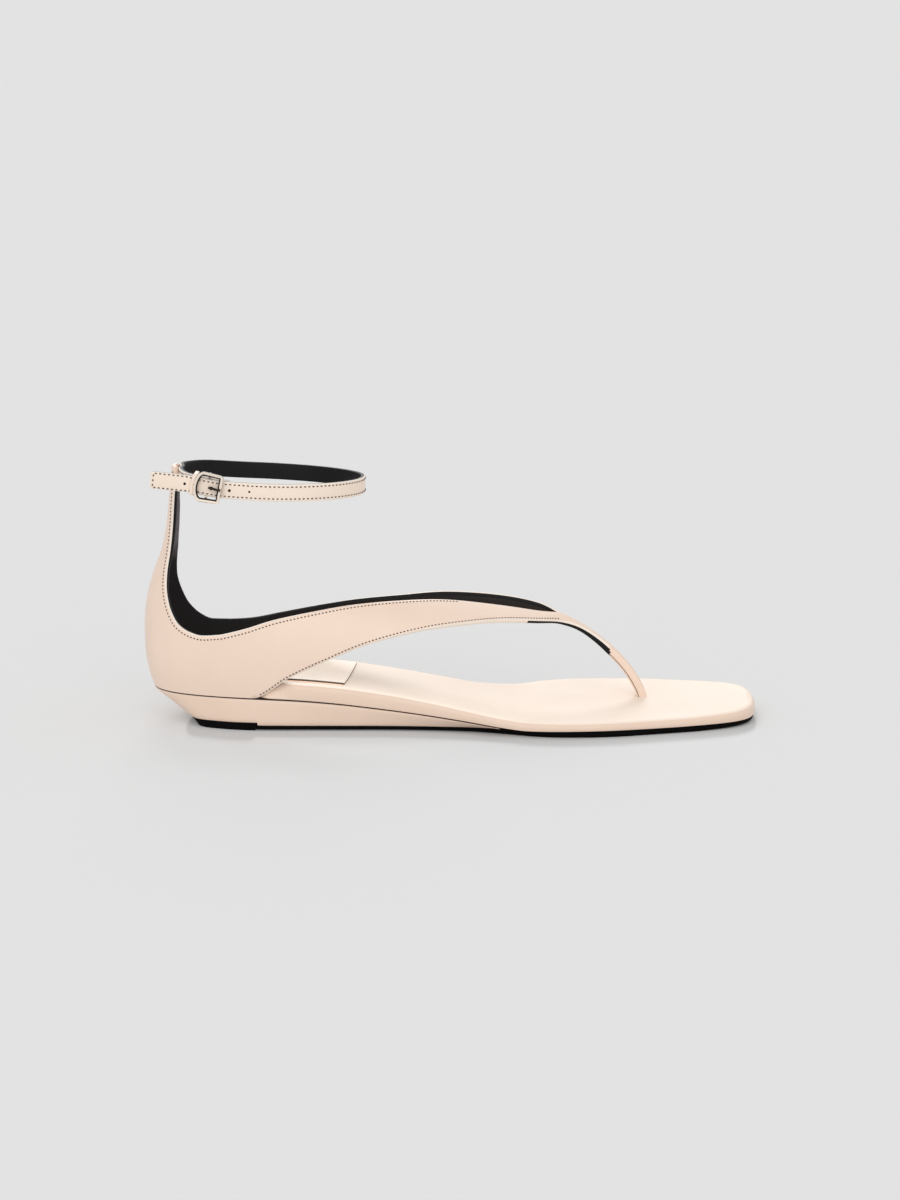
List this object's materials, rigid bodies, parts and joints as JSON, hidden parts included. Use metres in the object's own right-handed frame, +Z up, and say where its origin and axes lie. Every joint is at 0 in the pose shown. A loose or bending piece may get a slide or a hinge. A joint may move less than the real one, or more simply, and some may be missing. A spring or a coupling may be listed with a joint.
{
  "type": "flat wedge thong sandal",
  "caption": "Right thong sandal on a low covered wedge, with a closed heel counter, toe post and buckled ankle strap.",
  "frame": {"origin": "centre of the sandal's footprint box, on the floor", "axes": "+X from heel to toe, +Y to the inner side of the foot, +Z up"},
  "size_m": [0.2518, 0.0886, 0.1063],
  "materials": {
    "sole_rubber": "matte",
    "top_piece_rubber": "matte",
    "wedge_leather": "satin",
    "insole_leather": "satin",
    "sock_leather": "satin",
    "upper_leather": "satin",
    "strap_leather": "satin",
    "keeper_leather": "satin",
    "buckle_metal": "polished",
    "prong_metal": "polished"
  },
  "bodies": {
    "root": {"outsole": "sole_rubber", "heel_top_piece": "top_piece_rubber", "wedge_heel": "wedge_leather", "insole": "insole_leather", "heel_sock": "sock_leather", "upper": "upper_leather", "ankle_strap": "strap_leather", "strap_keeper": "keeper_leather", "buckle": "buckle_metal", "buckle_prong": "prong_metal"}
  },
  "joints": []
}
